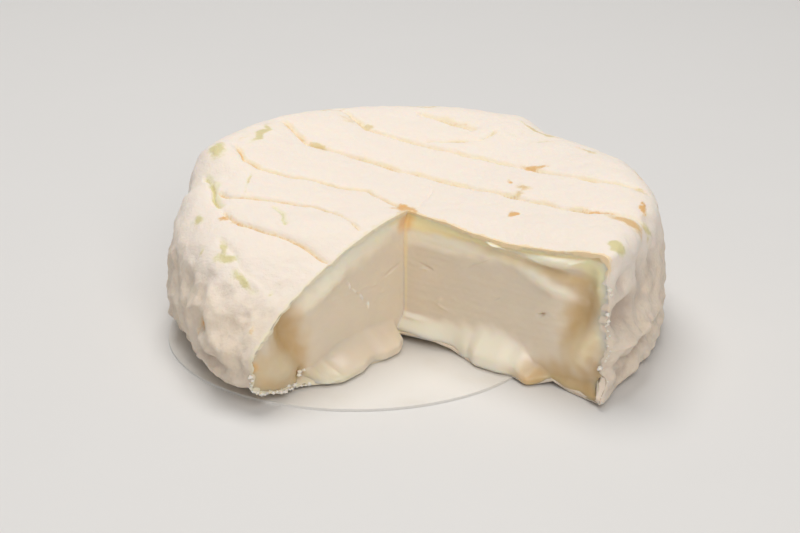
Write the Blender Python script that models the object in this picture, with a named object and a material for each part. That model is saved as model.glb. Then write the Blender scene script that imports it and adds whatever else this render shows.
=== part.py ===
"""A small ripened goat's cheese with one wedge cut out of it, lying on its round of white card.

Metres, +Z up. The origin is on the surface the cheese lies on, under the middle of its bounding
box. The wedge opens towards -Y.
"""

import math

import bmesh
import bpy
from mathutils import Vector, noise

MM = 0.001

# The whole cheese: a flat drum, lowest in the middle of its top, whose side sags outwards low down
HEIGHT_AT_CUT = 18.6 * MM
MIDDLE_LEVEL = 8.0 * MM

# The wedge: its point is in front of the middle, and it was cut along two straight knife strokes
WEDGE_POINT = Vector((-1.6, -7.0)) * MM
RIGHT_CUT = math.radians(-38.0)
LEFT_CUT = math.radians(231.0)

# Sections through the side, by their direction from the wedge's point in degrees. Each has the widest
# radius, its level, how far the rim stands above the cut's height, how far it stands in from the widest
# part, and the sharpness of the shoulder and of the foot. At the left cut the ripe paste has run, so
# the shoulder falls away in a slope.
SECTIONS = (
    (-38.0, 36.8 * MM, 9.0 * MM, 2.6 * MM, 0.0 * MM, 14.0, 14.0),
    (-14.0, 34.9 * MM, 8.0 * MM, 3.4 * MM, 1.3 * MM, 8.0, 14.0),
    (22.0, 34.5 * MM, 7.5 * MM, 5.0 * MM, 2.8 * MM, 7.0, 8.0),
    (90.0, 35.2 * MM, 8.0 * MM, 5.0 * MM, 1.4 * MM, 8.0, 7.0),
    (145.0, 34.7 * MM, 8.0 * MM, 5.2 * MM, 2.6 * MM, 6.0, 6.0),
    (185.0, 34.6 * MM, 7.5 * MM, 3.0 * MM, 2.0 * MM, 3.8, 5.0),
    (231.0, 37.6 * MM, 6.5 * MM, 0.0 * MM, 0.0 * MM, 1.5, 4.0),
)

# Folds that the drying rack pressed into the top: start and end, bow to the left of that run, swing
# of an S, depth
CREASES = (
    (Vector((-13.3, 28.2)) * MM, Vector((33.0, -0.7)) * MM, -0.4 * MM, 0.3 * MM, 0.55 * MM),
    (Vector((-20.5, 25.3)) * MM, Vector((28.5, -15.7)) * MM, 2.2 * MM, -0.4 * MM, 0.65 * MM),
    (Vector((-28.5, 17.8)) * MM, Vector((-1.9, -5.4)) * MM, -0.8 * MM, -2.0 * MM, 0.65 * MM),
    (Vector((-26.7, -1.8)) * MM, Vector((-6.5, -12.3)) * MM, 3.2 * MM, 0.4 * MM, 0.55 * MM),
    (Vector((-26.5, -6.7)) * MM, Vector((-11.0, -17.3)) * MM, -0.6 * MM, 0.3 * MM, 0.6 * MM),
    (Vector((-26.8, -11.2)) * MM, Vector((-17.0, -23.0)) * MM, -1.2 * MM, 0.0 * MM, 0.45 * MM),
    (Vector((-2.5, 32.8)) * MM, Vector((12.5, 22.5)) * MM, -0.6 * MM, 0.4 * MM, 0.5 * MM),
    (Vector((1.0, 18.9)) * MM, Vector((12.5, 22.2)) * MM, -0.8 * MM, 0.0 * MM, 0.4 * MM),
    (Vector((-30.8, 7.3)) * MM, Vector((-25.8, -6.7)) * MM, -0.5 * MM, 0.3 * MM, 0.5 * MM),
)
CREASE_HALF_WIDTH = 0.55 * MM
PILLOW_HALF_WIDTH = 2.4 * MM
PILLOW_SHARE = 0.4
CREASE_FADE = 0.06
WANDER = 0.7 * MM
WANDER_SCALE = 6.0 * MM

# Dents in the side: direction from the wedge's point in degrees, level, half width, half height, depth
DENTS = (
    (-33.0, 11.0 * MM, 4.6 * MM, 1.9 * MM, 1.9 * MM),
    (-21.0, 9.0 * MM, 2.2 * MM, 2.4 * MM, 1.1 * MM),
    (-30.0, 15.6 * MM, 2.4 * MM, 1.6 * MM, 1.0 * MM),
    (-20.0, 16.4 * MM, 1.8 * MM, 1.5 * MM, 0.7 * MM),
    (-30.0, 4.8 * MM, 2.8 * MM, 2.0 * MM, 1.4 * MM),
    (-14.0, 5.0 * MM, 2.2 * MM, 3.0 * MM, 0.9 * MM),
    (210.0, 8.6 * MM, 1.7 * MM, 1.4 * MM, 0.9 * MM),
    (203.0, 3.2 * MM, 4.2 * MM, 1.2 * MM, 1.1 * MM),
    (217.0, 2.6 * MM, 4.6 * MM, 1.2 * MM, 1.3 * MM),
    (196.0, 11.5 * MM, 3.0 * MM, 2.2 * MM, 0.7 * MM),
)
POCK_SIZE = 5.2 * MM
POCK_DEPTH = 0.75 * MM
UNEVEN_SIZE = 13.0 * MM
UNEVEN_DEPTH = 0.5 * MM

# How far the soft paste has run out at the foot of each cut, by the distance from the wedge's point
RIGHT_RUN = (
    (-1.0 * MM, 1.3 * MM),
    (4.0 * MM, 1.5 * MM),
    (8.5 * MM, 0.8 * MM),
    (13.0 * MM, 2.3 * MM),
    (17.0 * MM, 2.5 * MM),
    (19.0 * MM, 1.9 * MM),
    (21.5 * MM, 2.6 * MM),
    (25.0 * MM, 0.3 * MM),
    (28.5 * MM, 0.9 * MM),
    (32.0 * MM, 2.6 * MM),
)
LEFT_RUN = (
    (0.7 * MM, 0.0 * MM),
    (1.7 * MM, 2.9 * MM),
    (7.3 * MM, 3.1 * MM),
    (8.6 * MM, 2.2 * MM),
    (14.0 * MM, 2.4 * MM),
    (18.0 * MM, 1.2 * MM),
    (21.0 * MM, 1.3 * MM),
    (25.0 * MM, 0.2 * MM),
)
RIGHT_RUN_TOP = 4.9 * MM
LEFT_RUN_TOP = 3.7 * MM
RUN_ROUNDING = 1.9 * MM

# How far the foot of the right cut stands clear of what it lies on, by the same distance
RIGHT_LIFT = (
    (0.0 * MM, 1.1 * MM),
    (4.5 * MM, 1.4 * MM),
    (11.0 * MM, 0.1 * MM),
    (22.5 * MM, 0.0 * MM),
    (25.0 * MM, 0.7 * MM),
    (28.0 * MM, 0.0 * MM),
)

# Hollows and swellings of the cut faces: distance from the wedge's point, level, half length, half
# height, tilt in degrees, height outwards
RIGHT_SWELLS = (
    (6.0 * MM, 17.7 * MM, 10.0 * MM, 0.85 * MM, 2.0, -1.1 * MM),
    (24.0 * MM, 19.1 * MM, 8.0 * MM, 0.6 * MM, 6.0, -0.7 * MM),
    (25.0 * MM, 17.7 * MM, 4.2 * MM, 0.8 * MM, 10.0, 0.6 * MM),
    (20.0 * MM, 16.2 * MM, 9.0 * MM, 0.6 * MM, -2.0, -0.8 * MM),
    (24.0 * MM, 14.0 * MM, 3.6 * MM, 0.9 * MM, -16.0, 0.5 * MM),
    (28.6 * MM, 11.0 * MM, 5.6 * MM, 1.7 * MM, 78.0, -2.0 * MM),
    (29.4 * MM, 6.2 * MM, 3.2 * MM, 1.7 * MM, 62.0, 1.0 * MM),
    (31.6 * MM, 16.0 * MM, 2.5 * MM, 1.3 * MM, 80.0, 0.6 * MM),
    (3.0 * MM, 0.9 * MM, 5.0 * MM, 0.8 * MM, -4.0, -1.6 * MM),
)
LEFT_SWELLS = (
    (16.0 * MM, 12.8 * MM, 4.4 * MM, 1.2 * MM, -18.0, 0.6 * MM),
    (22.6 * MM, 8.6 * MM, 4.6 * MM, 1.4 * MM, 64.0, -2.2 * MM),
    (26.0 * MM, 4.6 * MM, 3.6 * MM, 1.9 * MM, 12.0, 1.3 * MM),
    (18.0 * MM, 1.0 * MM, 2.6 * MM, 1.3 * MM, 0.0, -1.1 * MM),
    (28.6 * MM, 1.6 * MM, 3.0 * MM, 0.9 * MM, 28.0, -0.8 * MM),
)
CUT_RELIEF_REACH = 2.6 * MM
RIND_EDGE = 0.94

# The card that the cheese is sold on
CARD_RADIUS = 26.1 * MM
CARD_CENTRE = Vector((-7.9, -4.1)) * MM
CARD_THICKNESS = 0.35 * MM
TOUCHING_GAP = 0.3 * MM
CARD_STEP = 2.5 * MM

# Unit mesh before it is shaped
SWEEP_STEPS = 250
ACROSS_STEPS = 48
LEVEL_STEPS = 34
MOST_TRIANGLES = 11000


def smooth(x, low, high):
    """0 at low, 1 at high, and a smooth way between them; low may be the larger."""
    t = max(0.0, min(1.0, (x - low) / (high - low)))
    return t * t * (3.0 - 2.0 * t)


def mix(a, b, share):
    return a + (b - a) * share


def bell(x, width):
    return math.exp(-((x / width) ** 2))


def eased(rows, x):
    """The values of the rows at x, eased from each row to the next."""
    if x <= rows[0][0]:
        return rows[0][1:]
    for before, after in zip(rows, rows[1:]):
        if x <= after[0]:
            share = smooth(x, before[0], after[0])
            return [mix(a, b, share) for a, b in zip(before[1:], after[1:])]
    return rows[-1][1:]


def rounded_square(u, w, sharpness):
    """Moves a point of the unit square onto nested superellipses, so a box gets a rounded corner."""
    longest = max(u, abs(w))
    if longest < 1e-9:
        return 0.0, 0.0
    shrink = longest / (u**sharpness + abs(w) ** sharpness) ** (1.0 / sharpness)
    return u * shrink, w * shrink


def reach(theta, radius):
    """How far the outline of this radius is from the wedge's point, in the direction theta."""
    along = WEDGE_POINT.x * math.cos(theta) + WEDGE_POINT.y * math.sin(theta)
    return math.sqrt(along**2 - WEDGE_POINT.length_squared + radius**2) - along


def base_level(x, y):
    """The level of the underside: over the card, or down beside it."""
    off_card = (Vector((x, y)) - CARD_CENTRE).length - CARD_RADIUS
    return (CARD_THICKNESS + TOUCHING_GAP) * smooth(off_card, CARD_STEP, TOUCHING_GAP)


def crease_depth(x, y):
    """How deep the pressed folds are at this point of the top."""
    point = Vector((x, y))
    wander = WANDER * noise.noise(Vector((x, y, 0.0)) / WANDER_SCALE)
    depth = 0.0
    for start, end, bow, swing, deepest in CREASES:
        run = end - start
        share = (point - start).dot(run) / run.length_squared
        if not -CREASE_FADE < share < 1.0 + CREASE_FADE:
            continue
        aside = run.cross(point - start) / run.length
        aside -= bow * 4.0 * share * (1.0 - share) + swing * math.sin(2.0 * math.pi * share) + wander
        shape = mix(bell(aside, CREASE_HALF_WIDTH), bell(aside, PILLOW_HALF_WIDTH), PILLOW_SHARE)
        shape *= smooth(share, -CREASE_FADE, CREASE_FADE) * smooth(share, 1.0 + CREASE_FADE, 1.0 - CREASE_FADE)
        depth = max(depth, deepest * shape)
    return depth


def side_depth(theta, distance, place):
    """How far the side is dented inwards: named dents, small pocks, and a slow unevenness."""
    depth = UNEVEN_DEPTH * noise.noise(place / UNEVEN_SIZE)
    nearest = noise.voronoi(place / POCK_SIZE)[0][0]
    depth += POCK_DEPTH * smooth(nearest, 0.6, 0.0)
    for degrees, level, half_width, half_height, deepest in DENTS:
        along = distance * (theta - math.radians(degrees))
        depth += deepest * bell(along, half_width) * bell(place.z - level, half_height)
    return depth


def swell_height(swells, rho, z):
    """How far the swells and hollows of a cut stand out at the distance rho and the level z."""
    height = 0.0
    for middle, level, half_length, half_height, tilt, outwards in swells:
        turn = math.radians(tilt)
        along = (rho - middle) * math.cos(turn) + (z - level) * math.sin(turn)
        across = (z - level) * math.cos(turn) - (rho - middle) * math.sin(turn)
        height += outwards * bell(along, half_length) * bell(across, half_height)
    return height


def drum(u, theta, w):
    """The point of the cheese's rind or inside: u from the wedge's point to the side, w from foot to top."""
    radius, level, rise, lean, shoulder, foot = eased(SECTIONS, math.degrees(theta))
    out, up = rounded_square(u, w, shoulder if w > 0 else foot)
    distance = out * (reach(theta, radius) - lean * max(0.0, up) ** 1.5)
    x = WEDGE_POINT.x + distance * math.cos(theta)
    y = WEDGE_POINT.y + distance * math.sin(theta)
    level = mix(MIDDLE_LEVEL, level, out)
    end = HEIGHT_AT_CUT + rise * out**2 if w > 0 else base_level(x, y)
    z = mix(level, end, abs(up))
    if w > 0:
        z -= crease_depth(x, y) * smooth(up, 0.25, 0.95)
    inwards = side_depth(theta, distance, Vector((x, y, z))) * smooth(out, 0.7, 1.0)
    inwards *= smooth(abs(up), 1.0, 0.8)
    x -= inwards * math.cos(theta)
    y -= inwards * math.sin(theta)
    return Vector((x, y, z))


def move_by_cut(point, inside, theta, turn, run, run_top, swells, lift):
    """Moves a point near one cut: the paste runs out at the foot, and the face swells and sinks inside
    the rind, which stays in the plane of the cut."""
    flat = point.xy - WEDGE_POINT
    along = Vector((math.cos(theta), math.sin(theta)))
    outwards = Vector((along.y, -along.x)) * turn
    rho = flat.dot(along)
    behind = min(0.0, flat.dot(outwards)) if rho > 0.0 else flat.length
    near = bell(behind, CUT_RELIEF_REACH)
    height = eased(run, rho)[0] * smooth(point.z, run_top, run_top - RUN_ROUNDING)
    height += swell_height(swells, rho, point.z) * inside
    raised = lift * near * smooth(point.z, RUN_ROUNDING, 0.0)
    return Vector((*(outwards * height * near), raised))


def unit_wedge_cut_drum():
    """A closed unit drum without its wedge: the outline spun about the wedge's point, and two filled cuts."""
    bm = bmesh.new()
    corners = []
    for i in range(ACROSS_STEPS + 1):
        corners.append((i / ACROSS_STEPS, 1.0))
    for j in range(1, LEVEL_STEPS + 1):
        corners.append((1.0, 1.0 - 2.0 * j / LEVEL_STEPS))
    for i in range(ACROSS_STEPS - 1, -1, -1):
        corners.append((i / ACROSS_STEPS, -1.0))
    start = Vector((math.cos(RIGHT_CUT), math.sin(RIGHT_CUT), 0.0))
    line = [bm.verts.new(start * u + Vector((0.0, 0.0, w))) for u, w in corners]
    edges = [bm.edges.new(pair) for pair in zip(line, line[1:])]
    bmesh.ops.spin(
        bm,
        geom=line + edges,
        cent=(0.0, 0.0, 0.0),
        axis=(0.0, 0.0, 1.0),
        angle=LEFT_CUT - RIGHT_CUT,
        steps=SWEEP_STEPS,
        use_merge=False,
    )
    for theta in (RIGHT_CUT, LEFT_CUT):
        made = bmesh.ops.create_grid(bm, x_segments=ACROSS_STEPS, y_segments=LEVEL_STEPS, size=1.0)
        for vert in made["verts"]:
            u, w = (vert.co.x + 1.0) / 2.0, vert.co.y
            vert.co = Vector((u * math.cos(theta), u * math.sin(theta), w))
    bmesh.ops.remove_doubles(bm, verts=bm.verts[:], dist=1e-5)
    bmesh.ops.recalc_face_normals(bm, faces=bm.faces[:])
    return bm


def unwrapped(theta):
    """theta between the right cut and the left cut, counted through the back."""
    return theta + 2.0 * math.pi if theta < RIGHT_CUT - 1e-4 else theta


def shape_cheese(bm):
    for vert in bm.verts:
        u = math.hypot(vert.co.x, vert.co.y)
        theta = unwrapped(math.atan2(vert.co.y, vert.co.x)) if u > 1e-6 else 0.0
        point = drum(u, theta, vert.co.z)
        rho = (point.xy - WEDGE_POINT).length
        lift = eased(RIGHT_LIFT, rho)[0]
        inside = smooth(max(u, abs(vert.co.z)), 1.0, RIND_EDGE)
        moved = move_by_cut(point, inside, RIGHT_CUT, 1.0, RIGHT_RUN, RIGHT_RUN_TOP, RIGHT_SWELLS, lift)
        moved += move_by_cut(point, inside, LEFT_CUT, -1.0, LEFT_RUN, LEFT_RUN_TOP, LEFT_SWELLS, 0.0)
        point += moved
        point.z = max(point.z, base_level(point.x, point.y))
        vert.co = point


def material(name, colour, roughness):
    made = bpy.data.materials.new(name)
    made.use_nodes = True
    shader = made.node_tree.nodes["Principled BSDF"]
    shader.inputs["Base Color"].default_value = (*colour, 1.0)
    shader.inputs["Roughness"].default_value = roughness
    return made


def add_object(name, bm, finish):
    mesh = bpy.data.meshes.new(name)
    bm.to_mesh(mesh)
    bm.free()
    mesh.shade_smooth()
    mesh.set_sharp_from_angle(angle=math.radians(35.0))
    mesh.materials.append(finish)
    obj = bpy.data.objects.new(name, mesh)
    bpy.context.scene.collection.objects.link(obj)
    return obj


def cheese_mesh():
    bm = unit_wedge_cut_drum()
    shape_cheese(bm)
    return bm


def card_mesh():
    bm = bmesh.new()
    bmesh.ops.create_cone(
        bm,
        cap_ends=True,
        segments=96,
        radius1=CARD_RADIUS,
        radius2=CARD_RADIUS,
        depth=CARD_THICKNESS,
    )
    bmesh.ops.translate(bm, verts=bm.verts[:], vec=(*CARD_CENTRE, CARD_THICKNESS / 2.0))
    return bm


def to_box_centre(meshes):
    """Moves the meshes together, so the origin is under the middle of their box."""
    points = [vert.co for bm in meshes for vert in bm.verts]
    middle = Vector((0.0, 0.0, 0.0))
    for axis in (0, 1):
        values = [point[axis] for point in points]
        middle[axis] = (min(values) + max(values)) / 2.0
    for bm in meshes:
        bmesh.ops.translate(bm, verts=bm.verts[:], vec=-middle)


def main():
    for obj in list(bpy.data.objects):
        bpy.data.objects.remove(obj)
    cheese = cheese_mesh()
    card = card_mesh()
    to_box_centre((cheese, card))
    share = MOST_TRIANGLES / len(cheese.calc_loop_triangles())
    cheese = add_object("cheese", cheese, material("bloomy_rind", (0.86, 0.80, 0.70), 0.65))
    thin_out = cheese.modifiers.new("thin_out", "DECIMATE")
    thin_out.ratio = share
    add_object("card", card, material("white_card", (0.85, 0.83, 0.80), 0.55))


main()
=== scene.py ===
"""A small ripened goat's cheese with one wedge cut out of it, lying on its round of white card.

Metres, +Z up. The cheese's form is worked out in the design frame of the solids, whose wedge point and
card centre are named below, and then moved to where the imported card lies.
"""

import math
import random

import bmesh
import bpy
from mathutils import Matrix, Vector, noise


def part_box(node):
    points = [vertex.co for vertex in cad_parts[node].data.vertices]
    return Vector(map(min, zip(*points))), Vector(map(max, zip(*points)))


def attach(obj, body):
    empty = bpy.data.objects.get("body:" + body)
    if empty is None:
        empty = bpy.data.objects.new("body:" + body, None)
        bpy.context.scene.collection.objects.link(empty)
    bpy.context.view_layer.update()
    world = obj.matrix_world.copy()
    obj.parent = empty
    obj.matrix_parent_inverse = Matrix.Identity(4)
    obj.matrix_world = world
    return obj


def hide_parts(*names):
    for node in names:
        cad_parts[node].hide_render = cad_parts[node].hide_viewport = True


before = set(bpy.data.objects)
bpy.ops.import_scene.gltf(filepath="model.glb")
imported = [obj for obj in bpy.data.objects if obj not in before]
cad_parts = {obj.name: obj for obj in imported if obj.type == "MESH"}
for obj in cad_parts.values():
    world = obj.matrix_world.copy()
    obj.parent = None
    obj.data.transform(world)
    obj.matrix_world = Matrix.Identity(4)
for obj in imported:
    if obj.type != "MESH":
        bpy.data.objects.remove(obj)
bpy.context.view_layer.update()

# The view: a long lens that looks down on the cheese from the front, from where the wedge opens.
# The photo's width is the sensor's width, and the aim is a place on the table before the middle.
MM = 0.001
LENS = 100.0
SENSOR = 36.0
PITCH = math.radians(21.6)
CAMERA_DISTANCE = 330.2 * MM
AIM = Vector((-2.1, 20.1, 0.0)) * MM

CARD_RADIUS = 26.1 * MM
CARD_CENTRE = Vector((-7.9, -4.1)) * MM

card_low, card_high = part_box("card")
PLACE = (card_low + card_high) / 2.0 - Vector((*CARD_CENTRE, 0.0))
PLACE.z = 0.0

camera_data = bpy.data.cameras.new("camera")
camera_data.lens = LENS
camera_data.sensor_width = SENSOR
camera_data.clip_start = 0.01
camera = bpy.data.objects.new("camera", camera_data)
camera.location = PLACE + AIM + Vector((0.0, -math.cos(PITCH), math.sin(PITCH))) * CAMERA_DISTANCE
camera.rotation_euler = (math.pi / 2.0 - PITCH, 0.0, 0.0)
bpy.context.scene.collection.objects.link(camera)
bpy.context.scene.camera = camera


# The card: a stamped round of thin white board, smooth, which the cheese is sold on. Whey and fat have
# soaked into it close to the cheese, and its cut edge shows the fibres.
CARD_WHITE = (0.76, 0.735, 0.695)
CARD_SOAKED = (0.70, 0.655, 0.575)
CARD_ROUGHNESS = 0.5


class Shade:
    """One socket in a material's nodes. Arithmetic on it adds nodes to the same tree."""

    def __init__(self, tree, socket=None):
        self.tree = tree
        self.socket = socket

    def node(self, kind, settings=None, inputs=None, output=0):
        """Adds a node: its settings come first, then its sockets' values or links."""
        made = self.tree.nodes.new(kind)
        for name, value in (settings or {}).items():
            if name == "stops":
                while len(made.color_ramp.elements) < len(value):
                    made.color_ramp.elements.new(1.0)
                for element, (position, colour) in zip(made.color_ramp.elements, value):
                    element.position = position
                    element.color = (*colour, 1.0)
            else:
                setattr(made, name, value)
        for name, value in (inputs or {}).items():
            if isinstance(value, Shade):
                self.tree.links.new(value.socket, made.inputs[name])
            elif isinstance(value, tuple) and made.inputs[name].type == "RGBA":
                made.inputs[name].default_value = (*value[:3], 1.0)
            else:
                made.inputs[name].default_value = value
        return Shade(self.tree, made.outputs[output])

    def math(self, operation, *values):
        return self.node("ShaderNodeMath", {"operation": operation}, dict(enumerate(values)))

    def __add__(self, other):
        return self.math("ADD", self, other)

    def __radd__(self, other):
        return self.math("ADD", other, self)

    def __sub__(self, other):
        return self.math("SUBTRACT", self, other)

    def __rsub__(self, other):
        return self.math("SUBTRACT", other, self)

    def __mul__(self, other):
        return self.math("MULTIPLY", self, other)

    def __rmul__(self, other):
        return self.math("MULTIPLY", other, self)

    def clipped(self):
        return self.node("ShaderNodeClamp", None, {"Value": self})

    def ramp(self, low, high):
        """0 where this is below low and 1 above high, eased between; low may be the larger."""
        if low > high:
            return 1.0 - self.ramp(high, low)
        settings = {"interpolation_type": "SMOOTHSTEP"}
        inputs = {"Value": self, "From Min": low, "From Max": high}
        return self.node("ShaderNodeMapRange", settings, inputs)

    def blend(self, below, above):
        """The colour below where this is 0 and the colour above where it is 1."""
        inputs = {0: self, 6: below, 7: above}
        return self.node("ShaderNodeMix", {"data_type": "RGBA"}, inputs, 2)

    def attribute(self, name, output=2):
        return self.node("ShaderNodeAttribute", {"attribute_name": name}, None, output)

    def place(self):
        return self.node("ShaderNodeTexCoord", None, None, 3)

    def noise(self, size, detail=3.0, stretch=(1.0, 1.0, 1.0), roughness=0.55):
        """Soft noise from 0 to 1, with spots about this size in metres."""
        mapped = self.node("ShaderNodeMapping", None, {"Vector": self.place(), "Scale": stretch})
        inputs = {"Vector": mapped, "Scale": 1.0 / size, "Detail": detail, "Roughness": roughness}
        return self.node("ShaderNodeTexNoise", None, inputs)


def new_material(name):
    """A material with only its Principled shader, and the Shade that adds nodes to it."""
    made = bpy.data.materials.new(name)
    made.use_nodes = True
    return made, Shade(made.node_tree)


def finish_material(made, sockets, height=None, relief=0.0):
    """Sets the Principled shader's sockets, and a bump of this relief in metres from a height of 0 to 1."""
    tree = made.node_tree
    shader = tree.nodes["Principled BSDF"]
    for name, value in sockets.items():
        if isinstance(value, Shade):
            tree.links.new(value.socket, shader.inputs[name])
        elif isinstance(value, tuple) and shader.inputs[name].type == "RGBA":
            shader.inputs[name].default_value = (*value, 1.0)
        else:
            shader.inputs[name].default_value = value
    if height is not None:
        bump = height.node("ShaderNodeBump", None, {"Height": height, "Distance": relief, "Strength": 1.0})
        tree.links.new(bump.socket, shader.inputs["Normal"])
    return made


def card_finish():
    made, shade = new_material("white_card")
    fibres = shade.noise(0.5 * MM, 4.0, (1.0, 3.0, 1.0))
    cloud = shade.noise(9.0 * MM, 2.0)
    soaked = (cloud + fibres * 0.25).ramp(0.62, 0.86) * 0.35
    colour = soaked.blend(CARD_WHITE, CARD_SOAKED)
    sockets = {"Base Color": colour, "Roughness": CARD_ROUGHNESS - soaked * 0.3}
    return finish_material(made, sockets, fibres, 0.03 * MM)


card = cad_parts["card"]
card.data.materials.clear()
card.data.materials.append(card_finish())


# The rind: a bloomy white skin half a millimetre thick, dry and downy on top, folded by the drying
# rack and dented at the side, moist and yellow where it has torn. The knife left its edge ragged.
# It carries the cheese's form: u runs from the wedge's point to the side, theta round that point in
# radians, and w from the foot, -1, to the top, 1.
HEIGHT_AT_CUT = 18.6 * MM
MIDDLE_LEVEL = 8.0 * MM
WEDGE_POINT = Vector((-1.6, -7.0)) * MM
RIGHT_CUT = math.radians(-38.0)
LEFT_CUT = math.radians(231.0)
MIDDLE_WAY = (RIGHT_CUT + LEFT_CUT) / 2.0

# Direction in degrees, widest radius, its level, rise of the rim, lean of the side, sharpness of the
# shoulder and of the foot
SECTIONS = (
    (-38.0, 36.8 * MM, 9.0 * MM, 2.6 * MM, 0.0 * MM, 14.0, 14.0),
    (-14.0, 34.9 * MM, 8.0 * MM, 3.4 * MM, 1.3 * MM, 8.0, 14.0),
    (22.0, 34.3 * MM, 7.5 * MM, 4.8 * MM, 3.0 * MM, 7.0, 8.0),
    (44.0, 34.3 * MM, 7.8 * MM, 4.2 * MM, 2.6 * MM, 6.0, 8.0),
    (54.0, 34.6 * MM, 7.8 * MM, 4.0 * MM, 2.2 * MM, 6.0, 8.0),
    (64.0, 35.0 * MM, 8.0 * MM, 4.9 * MM, 1.8 * MM, 8.0, 7.0),
    (90.0, 35.2 * MM, 8.0 * MM, 5.0 * MM, 1.4 * MM, 8.0, 7.0),
    (120.0, 35.0 * MM, 8.0 * MM, 5.4 * MM, 1.6 * MM, 9.0, 7.0),
    (145.0, 34.7 * MM, 8.0 * MM, 5.8 * MM, 2.0 * MM, 8.0, 6.0),
    (160.0, 34.2 * MM, 8.0 * MM, 4.1 * MM, 2.6 * MM, 5.0, 6.0),
    (185.0, 34.2 * MM, 7.5 * MM, 2.8 * MM, 2.3 * MM, 3.6, 5.0),
    (231.0, 37.6 * MM, 6.5 * MM, 0.0 * MM, 0.0 * MM, 1.5, 4.0),
)

# The folds of the top, in mm: start, end, how far the line bends to the left of that run at equal steps,
# depth, width of the stain behind the fold, its tint from 0 greenish over 1 ochre to 2 orange, and its
# strength
CREASES = (
    ((-10.5, 27.6), (31.2, -3.2), (-2.6, -2.0, -1.2, -0.4, -0.7, -1.6, -2.1), 0.55, 0.7, 1.1, 0.8),
    ((-19.5, 22.4), (30.8, -13.5), (-3.4, -1.4, -0.9, -0.7, -1.0, -2.0, -2.9), 0.65, 0.8, 1.3, 0.85),
    ((-25.3, 10.8), (-2.0, -4.8), (-2.6, -2.8, -1.7, 0.2, 0.7, 2.3, 1.1), 0.65, 0.7, 1.5, 1.0),
    ((-27.0, -1.5), (-7.5, -12.0), (-0.8, 0.2, 1.2, 2.0, 2.7, 2.6, 1.5), 0.55, 0.5, 1.4, 0.9),
    ((-25.9, -6.7), (-11.3, -18.4), (-1.6, -0.9, -0.2), 0.55, 0.45, 1.5, 0.8),
    ((-25.9, -13.3), (-17.1, -23.9), (-0.7, -1.1, -0.9), 0.3, 0.5, 0.3, 0.5),
    ((0.6, 27.6), (9.0, 20.9), (0.4, 0.4, 0.2), 0.5, 1.2, 1.3, 0.6),
    ((1.4, 18.0), (11.7, 19.6), (-0.7, -1.5, -1.5), 0.35, 0.5, 0.7, 0.7),
    ((-29.5, 4.5), (-26.2, -5.6), (0.6, 0.2, -0.3), 0.5, 0.9, 0.0, 0.95),
    ((-22.4, 3.6), (-23.5, -3.8), (-0.2, -0.1, 0.2), 0.12, 0.3, 0.2, 0.55),
    ((-19.3, -6.2), (-17.2, -11.9), (0.5, 0.6, 0.1), 0.2, 0.7, 0.1, 0.75),
    ((2.2, 3.2), (0.4, -5.2), (0.5, 0.4, -0.2), 0.15, 0.4, 0.4, 0.2),
)
CREASE_HALF_WIDTH = 0.55
FRONT_HALF_WIDTH = 0.3
PILLOW_HALF_WIDTH = 2.4
PILLOW_SHARE = 0.4
FOLD_LINE = 0.8
FOLD_LINE_HALF_WIDTH = 0.28
STAIN_LINE_SHIFT = 0.05
STAIN_LINE_HALF_WIDTH = 0.36
CREASE_FADE = 0.06
WANDER = 0.3
WANDER_SCALE = 3.0 * MM
PATCH_LENGTH = 3.0
PATCH_ROWS = 40.0

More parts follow.
